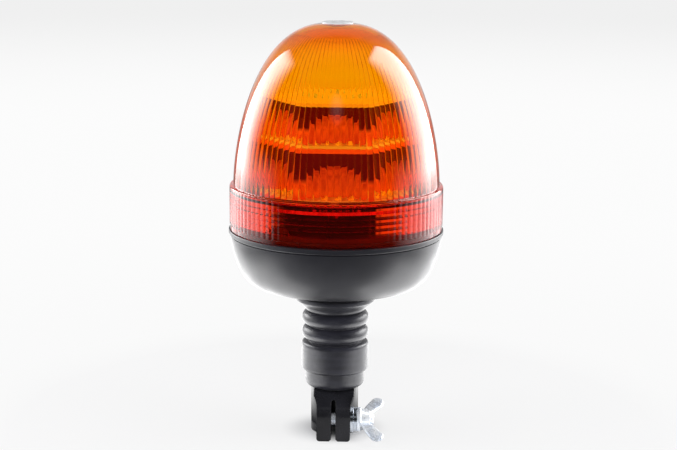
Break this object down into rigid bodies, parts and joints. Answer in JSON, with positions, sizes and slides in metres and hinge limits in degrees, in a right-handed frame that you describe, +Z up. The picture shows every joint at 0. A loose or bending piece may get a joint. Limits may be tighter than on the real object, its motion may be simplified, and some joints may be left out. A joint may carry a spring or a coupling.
{
  "type": "amber warning beacon",
  "caption": "Amber LED warning beacon: fluted dome lens on a black base, ribbed flexible rubber neck and a split clamp with a wing nut for a mounting pole.",
  "frame": {"origin": "centre of the pole bore at its lower mouth", "axes": "+Z up along the pole towards the dome, -Y towards the clamp's ears (the side the picture shows), +X towards the wing nut"},
  "size_m": [0.1328, 0.1328, 0.2571],
  "materials": {
    "clamp_plastic": "semi-gloss black",
    "base_plastic": "fine satin grain",
    "neck_rubber": "satin",
    "zinc_steel": "bright zinc plate",
    "plain_steel": "satin",
    "contact_brass": "plain",
    "insulator": "moulded",
    "spring_steel": "bright",
    "red_insulation": "satin",
    "black_insulation": "satin",
    "seal_rubber": "matt",
    "amber_lens": "clear amber",
    "crown_grey": "satin grey",
    "green_board": "solder mask",
    "white_board": "white solder mask",
    "capacitor_sleeve": "heat-shrink sleeve",
    "ferrite": "sintered",
    "chip_resin": "moulded",
    "deck_plastic": "moulded",
    "plate_aluminium": "orange lacquer",
    "cover_aluminium": "yellow lacquer",
    "reflector_metallised": "orange metallised cavities, dark flats",
    "led_package": "silicone dome"
  },
  "bodies": {
    "clamp": {"clamp_socket": "clamp_plastic", "clamp_bolt": "zinc_steel", "earth_ring": "contact_brass", "contact_carrier": "insulator", "terminal_plate": "contact_brass"},
    "washers": {"flat_washer": "zinc_steel", "spring_washer": "zinc_steel"},
    "wing_nut": {"wing_nut": "zinc_steel"},
    "contact": {"contact_plunger": "contact_brass", "contact_spring": "spring_steel"},
    "neck": {"flex_neck": "neck_rubber", "positive_lead": "red_insulation", "earth_lead": "black_insulation"},
    "head": {"base_bowl": "base_plastic", "lens_seal": "seal_rubber", "neck_stud": "plain_steel", "stud_washer": "plain_steel", "stud_nut": "plain_steel", "driver_board": "green_board", "driver_screws": "plain_steel", "driver_capacitors": "capacitor_sleeve", "driver_inductor": "ferrite", "driver_chips": "chip_resin", "lead_connector": "insulator", "deck_plate": "deck_plastic", "deck_screws": "plain_steel", "heat_plate": "plate_aluminium", "lower_led_board": "white_board", "lower_leds": "led_package", "lower_reflector": "reflector_metallised", "mid_plate": "plate_aluminium", "upper_led_board": "white_board", "upper_leds": "led_package", "upper_reflector": "reflector_metallised", "top_cover": "cover_aluminium", "tower_screws": "plain_steel", "tower_nuts": "plain_steel", "tower_leads": "red_insulation"},
    "lens": {"lens": "amber_lens", "crown_disc": "crown_grey"}
  },
  "joints": [
    {"name": "nut_travel", "type": "slide", "parent": "clamp", "child": "washers", "axis": [1, 0, 0], "range_m": [0, 0.0038]},
    {"name": "wing_nut_turn", "type": "hinge", "parent": "washers", "child": "wing_nut", "pos_m": [0.0146, -0.019, 0.012], "axis": [1, 0, 0], "range_deg": [0, 1080]},
    {"name": "contact_press", "type": "slide", "parent": "clamp", "child": "contact", "axis": [0, 0, 1], "range_m": [0, 0.0024], "stiffness_N_per_m": 400, "springref_m": -0.002, "deforming": ["contact_spring"]},
    {"name": "neck_bend_fore_aft", "type": "hinge", "parent": "clamp", "child": "neck", "pos_m": [0, 0, 0.06375], "axis": [1, 0, 0], "range_deg": [-20, 20], "stiffness_Nm_per_rad": 12, "deforming": ["flex_neck", "positive_lead", "earth_lead"]},
    {"name": "neck_bend_side", "type": "hinge", "parent": "neck", "child": "head", "pos_m": [0, 0, 0.07315], "axis": [0, 1, 0], "range_deg": [-20, 20], "stiffness_Nm_per_rad": 12, "deforming": ["flex_neck", "positive_lead", "earth_lead"]},
    {"name": "lens_twist", "type": "hinge", "parent": "head", "child": "lens", "pos_m": [0, 0, 0.13], "axis": [0, 0, 1], "range_deg": [0, 20]}
  ],
  "couplings": [
    {"joint": "nut_travel", "follows": "wing_nut_turn", "m_per_rad": 0.00019894}
  ]
}
